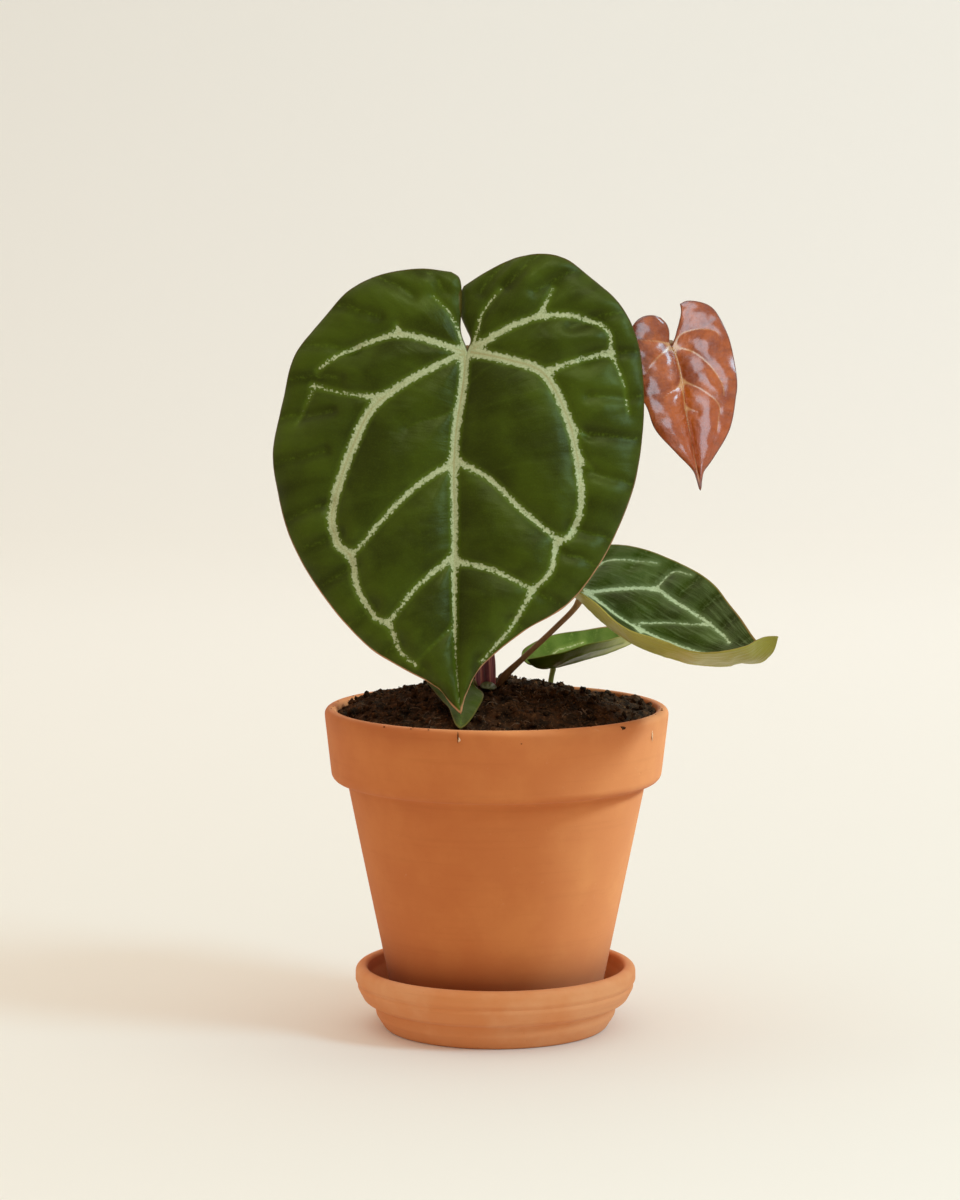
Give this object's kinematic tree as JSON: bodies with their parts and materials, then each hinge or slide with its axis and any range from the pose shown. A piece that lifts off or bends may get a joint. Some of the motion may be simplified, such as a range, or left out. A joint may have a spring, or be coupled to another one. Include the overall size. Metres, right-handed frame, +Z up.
{
  "type": "potted crystal anthurium",
  "caption": "Heart-leaved crystal anthurium growing from soil in a tapered terracotta pot on a matching saucer.",
  "frame": {"origin": "centre of the saucer's flat underside, on the surface it stands on", "axes": "+Z up through the pot, -Y towards the viewer whom the largest leaf faces, +X towards the bronze leaf"},
  "size_m": [0.213, 0.15, 0.3374],
  "materials": {
    "terracotta": "matt unglazed clay",
    "soil": "loose dark potting mix",
    "green_leaf": "velvety leaf with pale veins",
    "bronze_leaf": "glossy new leaf",
    "stalk": "smooth brown-green stalk",
    "sheath": "ribbed purple-red sheath"
  },
  "bodies": {
    "root": {"saucer": "terracotta", "pot": "terracotta", "soil": "soil", "crown_sheath": "sheath", "crown_bract": "green_leaf", "leaf_main_blade": "green_leaf", "leaf_main_stalk": "stalk", "leaf_bronze_blade": "bronze_leaf", "leaf_bronze_stalk": "stalk", "leaf_right_blade": "green_leaf", "leaf_right_stalk": "stalk", "leaf_back_blade": "green_leaf", "leaf_back_stalk": "stalk", "leaf_front_blade": "green_leaf", "leaf_front_stalk": "stalk"}
  },
  "joints": []
}
